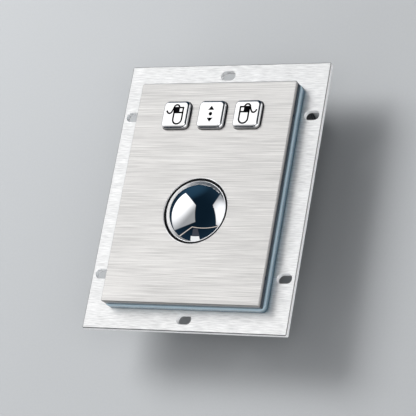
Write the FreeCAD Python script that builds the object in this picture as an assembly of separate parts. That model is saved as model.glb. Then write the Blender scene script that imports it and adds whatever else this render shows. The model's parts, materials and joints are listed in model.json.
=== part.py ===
import FreeCAD, Part
import math
import os

# Panel-mount trackball mouse: a metal flange carries a raised island with a front plate, a polished
# 38 mm ball and three metal keys. An opto-mechanical ball housing hangs behind the flange.
# Millimetres. Origin: centre of the flange's front face. +X right, +Y towards the keys, +Z out of
# the ball side.

Vector = FreeCAD.Vector
X_AXIS = Vector(1, 0, 0)
Y_AXIS = Vector(0, 1, 0)
Z_AXIS = Vector(0, 0, 1)

# Driving dimensions: mounting flange
FLANGE_SIZE = (110.0, 140.0)
FLANGE_T = 3.0
FLANGE_CORNER_R = 0.6
FLANGE_BEVEL = 0.35
SLOT_LENGTH = 8.0
SLOT_WIDTH = 5.0
SIDE_SLOT_X = 49.25
SIDE_SLOT_Y = 42.0
END_SLOT_Y = 64.0
REAR_Z = -FLANGE_T

# Island on the flange: gasket, inner frame and front plate share one centre
ISLAND_CENTRE = (0.0, -1.0)
PLATE_SIZE = (85.2, 115.4)
PLATE_CORNER_R = 0.8
PLATE_EDGE_R = 0.45
PLATE_T = 1.5
PLATE_TOP_Z = 8.5
PLATE_BOTTOM_Z = PLATE_TOP_Z - PLATE_T
SEAT_Z = -0.2
SEAT_MARGIN = 0.25
GASKET_SIZE = (86.6, 116.8)
GASKET_TOP_Z = 3.6
GASKET_CORNER_R = 3.0
GASKET_EDGE_R = 0.7
FRAME_STEP_SIZE = (85.0, 115.2)
FRAME_BODY_SIZE = (78.0, 108.5)
FRAME_BODY_CORNER_R = 2.0
FRAME_STEP_CORNER_R = 0.7
FRAME_OPENING = (72.0, 102.5)

# Welded studs that hold the front plate, in the island's four corners
STUD_X = 33.0
STUD_Y = 47.0
STUD_R = 1.5
STUD_TIP_Z = -7.2
WASHER_T = 0.5
NUT_T = 2.4
NUT_FLATS = 5.5

# Return springs of the keys and the idler
SPRING_WIRE_R = 0.3
KEY_SPRING_R = 3.5
KEY_SPRING_TURNS = 2.5
IDLER_SPRING_R = 2.2
IDLER_SPRING_TURNS = 3

# Keys
KEY_NAMES = ("left", "scroll", "right")
KEY_PITCH = 19.6
KEY_Y = 38.75
KEY_SIZE = 14.7
KEY_CORNER_R = 2.8
KEY_TOP_Z = 11.0
KEY_EDGE_R = 1.5
KEY_GAP = 0.25
KEY_TRAVEL = 1.0
LIP_SIZE = 17.5
LIP_CORNER_R = 3.2
LIP_Z = (5.3, 6.5)
STEM_R = 2.5
STEM_END_Z = 0.6
GUIDE_SIZE = (61.0, 22.4)
GUIDE_TOP_Z = 2.4
STEM_CLEARANCE = 0.06
KEY_WINDOW = (54.0, 14.8)
SWITCH_SIZE = 12.0
SWITCH_TOP_Z = -1.0
SWITCH_FLOOR_T = 0.7
PLUNGER_R = 3.4
PLUNGER_WELL_TOP = 1.2
KEY_PCB_SIZE = (56.0, 22.4)
PCB_T = 1.6
KEY_PCB_TOP_Z = -4.5
GUIDE_SCREW_X = 9.8
PCB_SCREW_X = 24.5
KEY_SCREW_Y = 9.0
KEY_SCREW_R = 1.0
SCREW_CLEARANCE = 0.1
KEY_SCREW_BORE = KEY_SCREW_R + SCREW_CLEARANCE
TIP_INSET = 0.3

# Ball, its three supports and the housing, drawn in the ball's own frame
BALL_CENTRE = Vector(0.0, -11.3, -2.0)
BALL_R = 19.0
SHELL_T = 2.0
CORE_GAP = 0.05
OPENING_R = 17.0
SUPPORT_ANGLE = math.radians(40.0)
CONTACT_GAP = 0.02
ROLLER_R = 3.0
ROLLER_LENGTH = 8.0
SHAFT_R = 1.5
BUSH_R = 3.0
BUSH_LENGTH = 3.0
BUSH_CENTRES = (9.5, -15.5)
BUSH_POST_HALF = 4.2
WHEEL_R = 8.0
WHEEL_T = 1.0
WHEEL_Y = -20.5
WHEEL_SLOTS = 24
SHAFT_ENDS = (-22.3, 11.5)
IDLER_R = 4.0
IDLER_WIDTH = 4.0
IDLER_AZIMUTH = 225.0
RUNNING_GAP = 0.03

HOUSING_SIZE = 60.0
HOUSING_WALL = 2.0
HOUSING_CORNER_R = 3.0
CUP_GAP = 0.7
CUP_T = 1.9
COLLAR_R = 22.5
FLANGE_HOLE_R = 23.0
HOUSING_TOP = REAR_Z - BALL_CENTRE.z
COLLAR_TOP = 6.5
HOUSING_BOTTOM = -29.0
COVER_BOTTOM = -31.0
BOSS_OFFSET = 25.0
BOSS_R = 2.6
MAIN_PCB_TOP = -25.0
MAIN_PCB_SIZE = 55.0
EAR_SCREW = (34.0, 22.0)
EAR_SCREW_R = 1.5
EAR_R = 4.0
EAR_T = 3.0
COVER_SCREW_R = 1.25
COVER_SCREW_TIP = -19.0
GUIDE_RIB = (28.0, 30.5)

# Cable: leaves the housing's left wall and is coiled behind the key end of the flange. It is drawn
# leaving to the right, with its boot, wires, plug and ties, and to_left mirrors them all.
CABLE_R = 2.25
CABLE_EXIT_Y = -4.0
CABLE_EXIT_Z = -20.0
COIL_CENTRE = (5.0, 43.5)
COIL_HALF_STRAIGHT = 26.0
COIL_OUTER_R = 17.0
COIL_PITCH = 4.7
COIL_TOP_Z = -15.4
COIL_LEVELS = [COIL_TOP_Z - COIL_PITCH * i for i in range(4)]
STEP_IN_X = -10.0
PLUG_END_X = 15.0
GRIP_SIZE = (26.0, 15.4, 7.8)
USB_SHELL_SIZE = (18.5, 12.0, 4.5)
USB_SHELL_T = 0.3
USB_SHELL_INSET = 2.5
USB_SHELL_X = PLUG_END_X - GRIP_SIZE[0] + USB_SHELL_INSET
TIE_X = -16.5


# ---------------------------------------------------------------- basic shapes

def block(x_range, y_range, z_range):
    """A box between its lowest and highest x, y and z."""
    size = [high - low for low, high in (x_range, y_range, z_range)]
    return Part.makeBox(*size, Vector(x_range[0], y_range[0], z_range[0]))


def slab(centre, size, corner_r, z_range):
    """An upright rectangular prism with rounded upright edges."""
    spans = [(c - s / 2, c + s / 2) for c, s in zip(centre, size)]
    body = block(spans[0], spans[1], z_range)
    upright = [edge for edge in body.Edges if abs(edge.tangentAt(edge.FirstParameter).z) > 0.99]
    return body.makeFillet(corner_r, upright)


def rod(start, axis, radius, length):
    """A round bar from a start point along an axis."""
    return Part.makeCylinder(radius, length, start, axis)


def post(x, y, radius, z_range):
    """An upright round bar."""
    return rod(Vector(x, y, z_range[0]), Z_AXIS, radius, z_range[1] - z_range[0])


def tube(x, y, outer_r, inner_r, z_range):
    """An upright round tube."""
    return post(x, y, outer_r, z_range).cut(post(x, y, inner_r, z_range))


def obround(x, y, length, width, z_range):
    """A slot shape that runs along X with round ends."""
    reach = (length - width) / 2
    body = block((x - reach, x + reach), (y - width / 2, y + width / 2), z_range)
    ends = [post(x + side * reach, y, width / 2, z_range) for side in (-1, 1)]
    return body.fuse(ends).removeSplitter()


def hexagon(x, y, across_flats, z_range):
    """An upright hexagonal prism."""
    corner_r = across_flats / math.sqrt(3)
    angles = [math.radians(60 * i) for i in range(7)]
    points = [Vector(x + corner_r * math.cos(a), y + corner_r * math.sin(a), z_range[0]) for a in angles]
    face = Part.Face(Part.makePolygon(points))
    return face.extrude(Vector(0, 0, z_range[1] - z_range[0]))


def level_edges(shape, z):
    """The edges of a shape that lie flat at one height."""
    box_of = [(edge, edge.BoundBox) for edge in shape.Edges]
    return [edge for edge, box in box_of if abs(box.ZMin - z) < 1e-3 and abs(box.ZMax - z) < 1e-3]


def corners(x, y):
    """The four points (+-x, +-y)."""
    return [(i * x, j * y) for i in (-1, 1) for j in (-1, 1)]


def span(a, b):
    """Two heights in rising order."""
    return (min(a, b), max(a, b))


def sweep(wire, radius):
    """A round bar that follows a wire."""
    first = wire.Edges[0]
    start = first.valueAt(first.FirstParameter)
    section = Part.Wire(Part.makeCircle(radius, start, first.tangentAt(first.FirstParameter)))
    round_corners = 2
    return wire.makePipeShell([section], True, False, round_corners)


# ---------------------------------------------------------------- fasteners

def pan_screw(x, y, thread_r, seat_z, tip_z):
    """A pan-head screw with a hexagonal drive, its head under the seat it bears on."""
    side = 1 if tip_z > seat_z else -1
    head_r = 1.85 * thread_r
    face_z = seat_z - side * 1.2 * thread_r
    head = post(x, y, head_r, span(seat_z, face_z))
    head = head.makeFillet(0.4 * thread_r, level_edges(head, face_z))
    recess = hexagon(x, y, 1.5 * thread_r, span(face_z, face_z + side * 0.8 * thread_r))
    return head.fuse(post(x, y, thread_r, span(seat_z, tip_z))).cut(recess)


def flat_screw(x, y, thread_r, face_z, tip_z):
    """A countersunk screw with a hexagonal drive, its head flush with face_z."""
    side = 1 if tip_z > face_z else -1
    head = countersink(x, y, thread_r, face_z, side)
    recess = hexagon(x, y, 1.4 * thread_r, span(face_z, face_z + side * 0.7 * thread_r))
    return head.fuse(post(x, y, thread_r, span(face_z + side * thread_r, tip_z))).cut(recess)


def countersink(x, y, thread_r, face_z, side):
    """The cone of a countersunk head, from twice the thread's radius down to the thread."""
    return Part.makeCone(2 * thread_r, thread_r, thread_r, Vector(x, y, face_z), Vector(0, 0, side))


def coil_spring(mean_r, length, turns):
    """A compression spring that stands on z = 0. Its round section is drawn as four arcs."""
    rise = length - 2 * SPRING_WIRE_R
    helix = Part.makeHelix(rise / turns, rise, mean_r)
    helix.translate(Vector(0, 0, SPRING_WIRE_R))
    centre = Vector(mean_r, 0, SPRING_WIRE_R)
    quarters = [Part.makeCircle(SPRING_WIRE_R, centre, Y_AXIS, 90 * i, 90 * i + 90) for i in range(4)]
    return Part.Wire(helix.Edges).makePipeShell([Part.Wire(quarters)], True, True)


# ---------------------------------------------------------------- places

def key_centres():
    """The middle of each key, left to right."""
    return [(KEY_PITCH * (i - 1), KEY_Y) for i in range(len(KEY_NAMES))]


def stud_places():
    """The four plate studs."""
    return [(x + ISLAND_CENTRE[0], y + ISLAND_CENTRE[1]) for x, y in corners(STUD_X, STUD_Y)]


def key_screw_places(x):
    """Four screws around the key group, at +-x."""
    return [(dx, KEY_Y + dy) for dx, dy in corners(x, KEY_SCREW_Y)]


def ear_screw_places():
    """The four housing screws, in the object's frame."""
    return [(BALL_CENTRE.x + x, BALL_CENTRE.y + y) for x, y in corners(*EAR_SCREW)]


def from_ball_frame(shape):
    """Moves a shape drawn around the ball's centre to its place."""
    return shape.translated(BALL_CENTRE)


# ---------------------------------------------------------------- flange and island

def mounting_flange():
    """The back plate with six slots, a shallow gasket seat and the openings behind the island."""
    through = (REAR_Z - 1, 1)
    body = slab((0, 0), FLANGE_SIZE, FLANGE_CORNER_R, (REAR_Z, 0))
    body = body.makeChamfer(FLANGE_BEVEL, level_edges(body, 0) + level_edges(body, REAR_Z))
    slot_places = corners(SIDE_SLOT_X, SIDE_SLOT_Y) + [(0, -END_SLOT_Y), (0, END_SLOT_Y)]
    slots = [obround(x, y, SLOT_LENGTH, SLOT_WIDTH, through) for x, y in slot_places]
    seat_size = [s + 2 * SEAT_MARGIN for s in GASKET_SIZE]
    seat = slab(ISLAND_CENTRE, seat_size, GASKET_CORNER_R + SEAT_MARGIN, (SEAT_Z, 1))
    ball_hole = post(BALL_CENTRE.x, BALL_CENTRE.y, FLANGE_HOLE_R, through)
    window = slab((0, KEY_Y), KEY_WINDOW, 1.5, through)
    stud_holes = [post(x, y, STUD_R + 0.2, through) for x, y in stud_places()]
    key_screws = key_screw_places(GUIDE_SCREW_X) + key_screw_places(PCB_SCREW_X)
    taps = [post(x, y, KEY_SCREW_R, through) for x, y in key_screws]
    taps += [post(x, y, EAR_SCREW_R, through) for x, y in ear_screw_places()]
    return body.cut([seat, ball_hole, window] + slots + stud_holes + taps)


def island_gasket():
    """The soft spacer ring that seals the island to the panel in front of the flange."""
    ring = slab(ISLAND_CENTRE, GASKET_SIZE, GASKET_CORNER_R, (SEAT_Z, GASKET_TOP_Z))
    ring = ring.makeFillet(GASKET_EDGE_R, level_edges(ring, GASKET_TOP_Z))
    inside = slab(ISLAND_CENTRE, FRAME_BODY_SIZE, FRAME_BODY_CORNER_R, (SEAT_Z - 1, GASKET_TOP_Z + 1))
    return ring.cut(inside)


def island_frame():
    """The stepped inner frame that carries the front plate and holds the gasket down."""
    body = slab(ISLAND_CENTRE, FRAME_BODY_SIZE, FRAME_BODY_CORNER_R, (SEAT_Z, GASKET_TOP_Z))
    step = slab(ISLAND_CENTRE, FRAME_STEP_SIZE, FRAME_STEP_CORNER_R, (GASKET_TOP_Z, PLATE_BOTTOM_Z))
    opening = slab(ISLAND_CENTRE, FRAME_OPENING, 2.0, (SEAT_Z - 1, PLATE_BOTTOM_Z + 1))
    return body.fuse(step).cut(opening)


def front_plate():
    """The brushed plate with the ball opening and three key openings."""
    z_range = (PLATE_BOTTOM_Z, PLATE_TOP_Z)
    through = (PLATE_BOTTOM_Z - 1, PLATE_TOP_Z + 1)
    body = slab(ISLAND_CENTRE, PLATE_SIZE, PLATE_CORNER_R, z_range)
    body = body.makeFillet(PLATE_EDGE_R, level_edges(body, PLATE_TOP_Z))
    side = KEY_SIZE + 2 * KEY_GAP
    keys = [slab(c, (side, side), KEY_CORNER_R + KEY_GAP, through) for c in key_centres()]
    hole = post(BALL_CENTRE.x, BALL_CENTRE.y, OPENING_R, through)
    bevel = 0.35
    mouth = Part.makeCone(OPENING_R, OPENING_R + 2 * bevel, 2 * bevel,
                          Vector(BALL_CENTRE.x, BALL_CENTRE.y, PLATE_TOP_Z - bevel), Z_AXIS)
    return body.cut(keys + [hole, mouth])


def front_plate_studs():
    """Four threaded studs welded to the back of the front plate."""
    base = (PLATE_BOTTOM_Z - 0.6, PLATE_BOTTOM_Z)
    shank = (STUD_TIP_Z, PLATE_BOTTOM_Z)
    return [post(x, y, STUD_R, shank).fuse(post(x, y, 2.1, base)) for x, y in stud_places()]


def stud_washers():
    """A flat washer under each nut, on the flange's rear face."""
    return [tube(x, y, 3.5, STUD_R + 0.1, (REAR_Z - WASHER_T, REAR_Z)) for x, y in stud_places()]


def stud_nuts():
    """The four nuts that pull the front plate to the flange."""
    top = REAR_Z - WASHER_T
    z_range = (top - NUT_T, top)
    bore = (z_range[0] - 1, top + 1)
    return [hexagon(x, y, NUT_FLATS, z_range).cut(post(x, y, STUD_R, bore)) for x, y in stud_places()]


# ---------------------------------------------------------------- keys

def key(centre):
    """One key: a domed-edge metal cap, a retaining lip below the plate and a guide stem."""
    cap = slab(centre, (KEY_SIZE, KEY_SIZE), KEY_CORNER_R, (LIP_Z[1], KEY_TOP_Z))
    cap = cap.makeFillet(KEY_EDGE_R, level_edges(cap, KEY_TOP_Z))
    lip = slab(centre, (LIP_SIZE, LIP_SIZE), LIP_CORNER_R, LIP_Z)
    stem = post(*centre, STEM_R, (STEM_END_Z, LIP_Z[0]))
    return cap.fuse([lip, stem]).removeSplitter()


def key_seals():
    """A thin elastomer frame between each key's lip and the front plate."""
    z_range = (LIP_Z[1], PLATE_BOTTOM_Z)
    inner = KEY_SIZE + 0.1
    seals = []
    for centre in key_centres():
        opening = slab(centre, (inner, inner), KEY_CORNER_R, (z_range[0] - 1, z_range[1] + 1))
        seals.append(slab(centre, (LIP_SIZE, LIP_SIZE), LIP_CORNER_R, z_range).cut(opening))
    return seals


def key_guide():
    """The plate behind the keys whose bores guide the stems."""
    body = slab((0, KEY_Y), GUIDE_SIZE, 2.0, (SEAT_Z, GUIDE_TOP_Z))
    cuts = []
    for x, y in key_centres():
        cuts.append(post(x, y, STEM_R + STEM_CLEARANCE, (SEAT_Z - 1, GUIDE_TOP_Z + 1)))
        cuts.append(post(x, y, PLUNGER_R + 0.6, (SEAT_Z - 1, PLUNGER_WELL_TOP)))
    for x, y in key_screw_places(GUIDE_SCREW_X):
        cuts.append(post(x, y, KEY_SCREW_BORE, (SEAT_Z - 1, GUIDE_TOP_Z + 1)))
        cuts.append(countersink(x, y, KEY_SCREW_R, GUIDE_TOP_Z, -1))
    return body.cut(cuts)


def key_guide_screws():
    """Four countersunk screws that hold the key guide to the flange."""
    places = key_screw_places(GUIDE_SCREW_X)
    return [flat_screw(x, y, KEY_SCREW_R, GUIDE_TOP_Z, REAR_Z + 0.5) for x, y in places]


def key_spring(centre):
    """The return spring around one stem, between the guide and the key's lip."""
    spring = coil_spring(KEY_SPRING_R, LIP_Z[0] - GUIDE_TOP_Z, KEY_SPRING_TURNS)
    return spring.translated(Vector(centre[0], centre[1], GUIDE_TOP_Z))


def key_pcb():
    """The circuit board behind the keys."""
    body = slab((0, KEY_Y), KEY_PCB_SIZE, 1.0, (KEY_PCB_TOP_Z - PCB_T, KEY_PCB_TOP_Z))
    through = (KEY_PCB_TOP_Z - PCB_T - 1, KEY_PCB_TOP_Z + 1)
    return body.cut([post(x, y, KEY_SCREW_BORE, through) for x, y in key_screw_places(PCB_SCREW_X)])


def key_pcb_spacers():
    """Four spacers between the key board and the flange."""
    z_range = (KEY_PCB_TOP_Z, REAR_Z)
    return [tube(x, y, 2.1, KEY_SCREW_BORE, z_range) for x, y in key_screw_places(PCB_SCREW_X)]


def key_pcb_screws():
    """Four screws that hold the key board."""
    seat = KEY_PCB_TOP_Z - PCB_T
    return [pan_screw(x, y, KEY_SCREW_R, seat, SEAT_Z - TIP_INSET) for x, y in key_screw_places(PCB_SCREW_X)]


def switch_bodies():
    """The three tactile switches' square cases, each with a well for its plunger."""
    bodies = []
    for centre in key_centres():
        case = slab(centre, (SWITCH_SIZE, SWITCH_SIZE), 0.6, (KEY_PCB_TOP_Z, SWITCH_TOP_Z))
        well_z = (KEY_PCB_TOP_Z + SWITCH_FLOOR_T, SWITCH_TOP_Z + 1)
        bodies.append(case.cut(post(*centre, PLUNGER_R + 0.05, well_z)))
    return bodies


def switch_plunger(centre):
    """One switch's plunger, which the stem pushes."""
    foot_z = KEY_PCB_TOP_Z + SWITCH_FLOOR_T + KEY_TRAVEL + 0.1
    return post(*centre, PLUNGER_R, (foot_z, STEM_END_Z))


KEY_SOCKET_Z = (-10.3, KEY_PCB_TOP_Z - PCB_T)
KEY_SOCKET_Y = (28.0, 33.0)
SOCKET_HALF_WIDTH = 5.2
PLUG_HALF_WIDTH = 4.5
KEY_PLUG_Z = (-9.6, -6.8)
HARNESS_Z = -8.2


def key_connector():
    """The socket under the key board, open towards the ball housing."""
    body = block((-SOCKET_HALF_WIDTH, SOCKET_HALF_WIDTH), KEY_SOCKET_Y, KEY_SOCKET_Z)
    half = PLUG_HALF_WIDTH + 0.1
    well = block((-half, half), (KEY_SOCKET_Y[0] - 1, KEY_SOCKET_Y[0] + 3.1),
                 (KEY_PLUG_Z[0] - 0.1, KEY_PLUG_Z[1] + 0.1))
    return body.cut(well)


# ---------------------------------------------------------------- ball, rollers and idler

SHAFT_X = (BALL_R + ROLLER_R + CONTACT_GAP) * math.cos(SUPPORT_ANGLE)
SHAFT_Z = -(BALL_R + ROLLER_R + CONTACT_GAP) * math.sin(SUPPORT_ANGLE)
IDLER_X = (BALL_R + IDLER_R + CONTACT_GAP) * math.cos(SUPPORT_ANGLE)
IDLER_Z = -(BALL_R + IDLER_R + CONTACT_GAP) * math.sin(SUPPORT_ANGLE)
CARRIAGE_BACK = (22.0, 24.5)
CARRIAGE_HALF_H = 2.5
ARM_Y = (2.2, 4.2)


def on_shaft(radius, y_range):
    """A round part on the X roller's shaft line, in the ball's frame."""
    return rod(Vector(SHAFT_X, y_range[0], SHAFT_Z), Y_AXIS, radius, y_range[1] - y_range[0])


def swap_xy(shape):
    """The Y roller's copy of a part of the X roller, mirrored across the plane x = y."""
    return shape.mirror(Vector(0, 0, 0), Vector(1, -1, 0).normalize())


def in_idler_frame(shape):
    """Turns a part drawn with the idler on +X to the idler's azimuth, in the ball's frame."""
    return shape.rotated(Vector(0, 0, 0), Z_AXIS, IDLER_AZIMUTH)


def to_left(shape):
    """Mirrors a part drawn on the right to the left, or each part of a list."""
    if isinstance(shape, list):
        return [to_left(s) for s in shape]
    return shape.mirror(Vector(0, 0, 0), X_AXIS)


def around(middle, half):
    """A range around a middle."""
    return (middle - half, middle + half)


def ball_shell():
    """The polished steel ball's hollow shell."""
    return Part.makeSphere(BALL_R).cut(Part.makeSphere(BALL_R - SHELL_T))


def ball_core():
    """The ball's core, which carries the shell."""
    return Part.makeSphere(BALL_R - SHELL_T - CORE_GAP)


def ball_wiper():
    """The ring behind the front plate that wipes the ball."""
    z_range = (COLLAR_TOP, PLATE_BOTTOM_Z - BALL_CENTRE.z)
    return tube(0, 0, 21.5, 15.0, z_range).cut(Part.makeSphere(BALL_R + 0.05))


def roller_shaft():
    """A steel shaft with its roller turned in one piece."""
    roller = on_shaft(ROLLER_R, around(0, ROLLER_LENGTH / 2))
    rims = [edge for edge in roller.Edges if edge.Curve.TypeId == "Part::GeomCircle"]
    roller = roller.makeChamfer(0.4, rims)
    return on_shaft(SHAFT_R, SHAFT_ENDS).fuse(roller)


def code_wheel():
    """A slotted disc pressed on the shaft, which chops the light in the sensor."""
    disc = on_shaft(WHEEL_R, around(WHEEL_Y, WHEEL_T / 2))
    hub = on_shaft(2.6, around(WHEEL_Y, 1.2))
    centre = Vector(SHAFT_X, WHEEL_Y, SHAFT_Z)
    slot = block(around(0, 0.35), around(0, WHEEL_T), (5.0, 7.2))
    turns = [360.0 * i / WHEEL_SLOTS for i in range(WHEEL_SLOTS)]
    slots = [slot.rotated(Vector(0, 0, 0), Y_AXIS, turn).translated(centre) for turn in turns]
    return disc.fuse(hub).cut(slots + [on_shaft(SHAFT_R, SHAFT_ENDS)])


def shaft_bushes():
    """The two plain bearings of a roller shaft."""
    spans = [around(middle, BUSH_LENGTH / 2) for middle in BUSH_CENTRES]
    return [on_shaft(BUSH_R, s).cut(on_shaft(SHAFT_R + RUNNING_GAP, s)) for s in spans]


def on_idler(radius, half_length):
    """A round part on the idler's pin line, drawn with the idler on +X."""
    return rod(Vector(IDLER_X, -half_length, IDLER_Z), Y_AXIS, radius, 2 * half_length)


def idler_bearing():
    """The idler's ring, the ball's third support."""
    ring = on_idler(IDLER_R, IDLER_WIDTH / 2)
    rims = [edge for edge in ring.Edges if edge.Curve.TypeId == "Part::GeomCircle"]
    return ring.makeChamfer(0.3, rims).cut(on_idler(SHAFT_R + RUNNING_GAP, IDLER_WIDTH))


def idler_pin():
    """The pin the idler turns on."""
    return on_idler(SHAFT_R, ARM_Y[1] + 0.2)


def idler_carriage():
    """The fork that holds the idler pin, with a stem that slides in the housing's rib."""
    z_range = around(IDLER_Z, CARRIAGE_HALF_H)
    back = block(CARRIAGE_BACK, (-ARM_Y[1], ARM_Y[1]), z_range)
    arms = [block((15.5, CARRIAGE_BACK[1]), span(s * ARM_Y[0], s * ARM_Y[1]), z_range) for s in (-1, 1)]
    stem = rod(Vector(CARRIAGE_BACK[1], 0, IDLER_Z), X_AXIS, SHAFT_R, 31.4 - CARRIAGE_BACK[1])
    return back.fuse(arms + [stem]).cut(on_idler(SHAFT_R, 10))


def idler_spring():
    """The spring that presses the idler on the ball."""
    spring = coil_spring(IDLER_SPRING_R, GUIDE_RIB[0] - CARRIAGE_BACK[1], IDLER_SPRING_TURNS)
    spring.rotate(Vector(0, 0, 0), Y_AXIS, 90)
    return spring.translated(Vector(CARRIAGE_BACK[1], 0, IDLER_Z))


# ---------------------------------------------------------------- ball housing

def cup():
    """The bowl around the ball's lower half, open where shafts and idler reach the ball."""
    outer = Part.makeSphere(BALL_R + CUP_GAP + CUP_T)
    bowl = outer.common(block(around(0, 30), around(0, 30), (-30, HOUSING_TOP)))
    roller_gap = on_shaft(ROLLER_R + 0.8, (-8, 8)).fuse(on_shaft(BUSH_R, SHAFT_ENDS))
    idler_gap = in_idler_frame(block((12, 27), around(0, 5), around(IDLER_Z, 4.2)))
    drain = post(0, 0, 6, (-30, 0))
    return bowl.cut([roller_gap, swap_xy(roller_gap), idler_gap, drain])


def bush_posts():
    """The two wall blocks of one shaft, bored for its bushes and open below for assembly."""
    wall_x = HOUSING_SIZE / 2 - HOUSING_WALL / 2
    posts = []
    for middle in BUSH_CENTRES:
        y_range = around(middle, BUSH_LENGTH / 2)
        body = block((SHAFT_X - BUSH_POST_HALF, wall_x), y_range, around(SHAFT_Z, BUSH_POST_HALF))
        mouth = block(around(SHAFT_X, BUSH_R - 0.4), around(middle, BUSH_LENGTH), (SHAFT_Z - 6, SHAFT_Z))
        posts.append(body.cut([on_shaft(BUSH_R, around(middle, BUSH_LENGTH)), mouth]))
    return posts


def idler_rib():
    """The diagonal rib in the corner that guides the idler carriage's stem."""
    reach = HOUSING_SIZE
    rib = in_idler_frame(block(GUIDE_RIB, (-reach, reach), (IDLER_Z - 4, HOUSING_TOP)))
    half = HOUSING_SIZE / 2 - HOUSING_WALL / 2
    return rib.common(block((-half, half), (-half, half), (HOUSING_BOTTOM, HOUSING_TOP)))


def mounting_ears():
    """Four screw ears at the housing's top edge."""
    x, y = EAR_SCREW
    inner = HOUSING_SIZE / 2 - HOUSING_WALL / 2
    z_range = (HOUSING_TOP - EAR_T, HOUSING_TOP)
    ears = []
    for sx, sy in corners(1, 1):
        arm = block(span(sx * inner, sx * x), around(sy * y, EAR_R), z_range)
        ears.append(arm.fuse(post(sx * x, sy * y, EAR_R, z_range)))
    return ears


def housing_shell():
    """The open box with rounded corners and a collar through the flange."""
    z_range = (HOUSING_BOTTOM, HOUSING_TOP)
    outer = slab((0, 0), (HOUSING_SIZE, HOUSING_SIZE), HOUSING_CORNER_R, z_range)
    inner_size = HOUSING_SIZE - 2 * HOUSING_WALL
    inner = slab((0, 0), (inner_size, inner_size), 1.2, (HOUSING_BOTTOM - 1, HOUSING_TOP - HOUSING_WALL))
    return outer.cut(inner).fuse(post(0, 0, COLLAR_R, (HOUSING_TOP - 1, COLLAR_TOP)))


def ball_housing():
    """The moulded housing that seats the ball, its shafts and its electronics."""
    bosses = [post(x, y, BOSS_R, (MAIN_PCB_TOP, HOUSING_TOP)) for x, y in corners(BOSS_OFFSET, BOSS_OFFSET)]
    posts = bush_posts()
    added = [cup(), idler_rib()] + bosses + posts + [swap_xy(p) for p in posts] + mounting_ears()
    body = housing_shell().fuse(added)
    ball_room = Part.makeSphere(BALL_R + CUP_GAP).fuse(post(0, 0, BALL_R + CUP_GAP, (0, COLLAR_TOP + 1)))
    cuts = [ball_room]
    boss_bore_z = (MAIN_PCB_TOP - 1, COVER_SCREW_TIP + 1)
    cuts += [post(x, y, COVER_SCREW_R, boss_bore_z) for x, y in corners(BOSS_OFFSET, BOSS_OFFSET)]
    ear_bore_z = (HOUSING_TOP - EAR_T - 1, HOUSING_TOP + 1)
    cuts += [post(x, y, EAR_SCREW_R + 0.15, ear_bore_z) for x, y in corners(*EAR_SCREW)]
    cuts.append(in_idler_frame(rod(Vector(25, 0, IDLER_Z), X_AXIS, SHAFT_R + 0.05, 10)))
    cuts.append(to_left(rod(Vector(20, CABLE_EXIT_Y, CABLE_EXIT_Z), X_AXIS, 3.4, 20)))
    wall_y = HOUSING_SIZE / 2
    harness_z = HARNESS_Z - BALL_CENTRE.z
    cuts.append(block(around(0, 4.2), (wall_y - 4, wall_y + 1), around(harness_z, 1.6)))
    return body.cut(cuts).removeSplitter()


def housing_screws():
    """Four screws through the housing's ears into the flange."""
    seat = REAR_Z - EAR_T
    return [pan_screw(x, y, EAR_SCREW_R, seat, SEAT_Z - TIP_INSET) for x, y in ear_screw_places()]


def bottom_cover():
    """The cover that closes the housing and clamps the main board on its bosses."""
    plate = slab((0, 0), (HOUSING_SIZE, HOUSING_SIZE), HOUSING_CORNER_R, (COVER_BOTTOM, HOUSING_BOTTOM))
    plate = plate.makeChamfer(0.5, level_edges(plate, COVER_BOTTOM))
    lip_outer = HOUSING_SIZE - 2 * HOUSING_WALL - 0.2
    lip_z = (HOUSING_BOTTOM, HOUSING_BOTTOM + 1.6)
    lip = slab((0, 0), (lip_outer, lip_outer), 1.1, lip_z)
    lip = lip.cut(slab((0, 0), (lip_outer - 2.4, lip_outer - 2.4), 1.0, lip_z))
    places = corners(BOSS_OFFSET, BOSS_OFFSET)
    tubes = [post(x, y, BOSS_R, (HOUSING_BOTTOM, MAIN_PCB_TOP - PCB_T)) for x, y in places]
    holes = [post(x, y, COVER_SCREW_R + SCREW_CLEARANCE, (COVER_BOTTOM - 1, MAIN_PCB_TOP)) for x, y in places]
    sinks = [countersink(x, y, COVER_SCREW_R, COVER_BOTTOM, 1) for x, y in places]
    return plate.fuse([lip] + tubes).cut(holes + sinks).removeSplitter()


def bottom_cover_screws():
    """Four countersunk screws through the cover and the main board into the housing's bosses."""
    places = corners(BOSS_OFFSET, BOSS_OFFSET)
    return [flat_screw(x, y, COVER_SCREW_R, COVER_BOTTOM, COVER_SCREW_TIP) for x, y in places]


# ---------------------------------------------------------------- electronics, in the ball's frame

SENSOR_ARM_TOP = -18.6
HARNESS_SOCKET_Y = (20.3, 25.7)
CABLE_SOCKET_X = (17.5, 23.0)
SOCKET_TOP = -19.5
HARNESS_PITCH = 1.2


def main_pcb():
    """The controller board under the ball."""
    z_range = (MAIN_PCB_TOP - PCB_T, MAIN_PCB_TOP)
    board = slab((0, 0), (MAIN_PCB_SIZE, MAIN_PCB_SIZE), 1.5, z_range)
    through = (z_range[0] - 1, z_range[1] + 1)
    bore_r = COVER_SCREW_R + SCREW_CLEARANCE
    return board.cut([post(x, y, bore_r, through) for x, y in corners(BOSS_OFFSET, BOSS_OFFSET)])


def optocoupler():
    """A forked light sensor that straddles the rim of the X code wheel."""
    body = block(around(SHAFT_X, 3), around(WHEEL_Y, 3.4), (MAIN_PCB_TOP, SENSOR_ARM_TOP))
    gap = block(around(SHAFT_X, 4), around(WHEEL_Y, 1.2), (SHAFT_Z - WHEEL_R - 0.6, SENSOR_ARM_TOP + 1))
    windows = rod(Vector(SHAFT_X, WHEEL_Y - 5, SENSOR_ARM_TOP - 2), Y_AXIS, 0.5, 10)
    return body.cut([gap, windows])


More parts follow.
